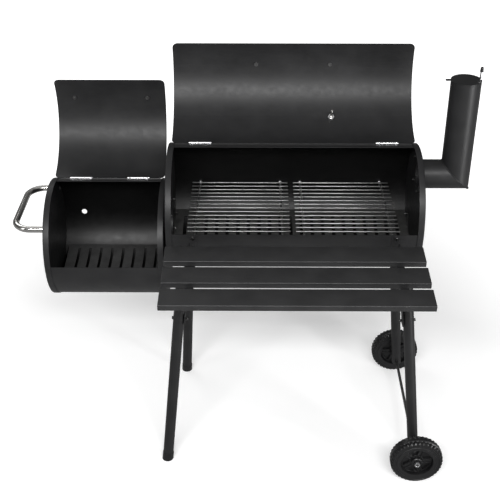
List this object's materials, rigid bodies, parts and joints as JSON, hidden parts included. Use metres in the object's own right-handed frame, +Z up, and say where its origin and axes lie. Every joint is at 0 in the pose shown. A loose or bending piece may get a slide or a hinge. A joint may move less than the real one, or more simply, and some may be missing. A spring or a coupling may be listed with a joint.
{
  "type": "offset smoker",
  "caption": "Barrel charcoal smoker with an offset firebox, hinged lids, side chimney, slatted front shelf and a leg frame on wheels and feet.",
  "frame": {"origin": "on the floor, under the middle of the whole object's box, with both lids open", "axes": "+X from the firebox towards the chimney along the barrels, +Y from the front shelf to the back, +Z up"},
  "size_m": [1.1336, 0.6643, 1.0702],
  "materials": {
    "black_paint": "satin heat-proof paint",
    "grate_steel": "plated wire",
    "zinc_steel": "zinc plated",
    "dark_steel": "black oxide",
    "bright_chrome": "polished",
    "black_plastic": "moulded",
    "dial_white": "matt",
    "needle_red": "matt",
    "lens_glass": "clear"
  },
  "bodies": {
    "frame": {"main_barrel_shell": "black_paint", "main_left_end_cap": "black_paint", "main_right_end_cap": "black_paint", "firebox_shell": "black_paint", "firebox_left_end_cap": "black_paint", "firebox_right_end_cap": "black_paint", "flue_collar": "black_paint", "body_bolts": "dark_steel", "grate_rest_bolts": "zinc_steel", "charcoal_pan": "black_paint", "firebox_charcoal_grate": "black_paint", "hinge_fixed_leaves": "black_paint", "hinge_pins": "zinc_steel", "air_vent_rivet": "zinc_steel", "side_handle": "bright_chrome", "side_handle_screws": "dark_steel", "chimney_flange": "black_paint", "chimney_elbow": "black_paint", "chimney_stack": "black_paint", "damper_post": "zinc_steel", "damper_sleeve": "zinc_steel", "damper_knob": "black_plastic", "shelf_slat_front": "black_paint", "shelf_slat_middle": "black_paint", "shelf_slat_rear": "black_paint", "shelf_screws": "dark_steel", "shelf_bracket_left": "black_paint", "shelf_bracket_right": "black_paint", "leg_front_left": "black_paint", "leg_bracket_front_left": "black_paint", "leg_rear_left": "black_paint", "leg_bracket_rear_left": "black_paint", "leg_front_right": "black_paint", "leg_bracket_front_right": "black_paint", "leg_rear_right": "black_paint", "leg_bracket_rear_right": "black_paint", "leg_bolts": "dark_steel", "foot_caps": "black_plastic", "axle_rod": "dark_steel", "axle_nuts": "zinc_steel", "axle_spacers": "black_plastic"},
    "main_lid": {"main_lid_sheet": "black_paint", "main_lid_handle": "bright_chrome", "main_lid_handle_screws": "dark_steel", "main_lid_hinge_leaves": "black_paint", "thermometer_case": "bright_chrome", "thermometer_dial": "dial_white", "thermometer_lens": "lens_glass", "thermometer_needle": "needle_red", "thermometer_nut": "zinc_steel"},
    "firebox_lid": {"firebox_lid_sheet": "black_paint", "firebox_lid_handle": "bright_chrome", "firebox_lid_handle_screws": "dark_steel", "firebox_lid_hinge_leaves": "black_paint"},
    "front_wheel_body": {"front_wheel": "black_plastic"},
    "rear_wheel_body": {"rear_wheel": "black_plastic"},
    "damper": {"chimney_damper": "black_paint"},
    "air_vent": {"air_vent_shutter": "black_paint"},
    "left_grate": {"cooking_grate_left": "grate_steel"},
    "right_grate": {"cooking_grate_right": "grate_steel"}
  },
  "joints": [
    {"name": "main_lid_hinge", "type": "hinge", "parent": "frame", "child": "main_lid", "pos_m": [0.129, 0.11446, 0.85635], "axis": [-1, 0, 0], "range_deg": [-161, 0]},
    {"name": "firebox_lid_hinge", "type": "hinge", "parent": "frame", "child": "firebox_lid", "pos_m": [-0.3355, 0.12049, 0.75493], "axis": [-1, 0, 0], "range_deg": [-153.7, 0]},
    {"name": "front_wheel_spin", "type": "hinge", "parent": "frame", "child": "front_wheel_body", "pos_m": [0.464, -0.16845, 0.0694], "axis": [0, 1, 0], "continuous": true},
    {"name": "rear_wheel_spin", "type": "hinge", "parent": "frame", "child": "rear_wheel_body", "pos_m": [0.464, 0.30695, 0.0694], "axis": [0, 1, 0], "continuous": true},
    {"name": "damper_swivel", "type": "hinge", "parent": "frame", "child": "damper", "pos_m": [0.5626, 0.07655, 1.037], "axis": [0, 0, 1], "range_deg": [-90, 0]},
    {"name": "air_vent_turn", "type": "hinge", "parent": "frame", "child": "air_vent", "pos_m": [-0.4828, 0.02255, 0.5192], "axis": [1, 0, 0], "range_deg": [0, 45]},
    {"name": "left_grate_lift", "type": "slide", "parent": "frame", "child": "left_grate", "axis": [0, 0, 1], "range_m": [0, 0.06]},
    {"name": "right_grate_lift", "type": "slide", "parent": "frame", "child": "right_grate", "axis": [0, 0, 1], "range_m": [0, 0.06]}
  ]
}
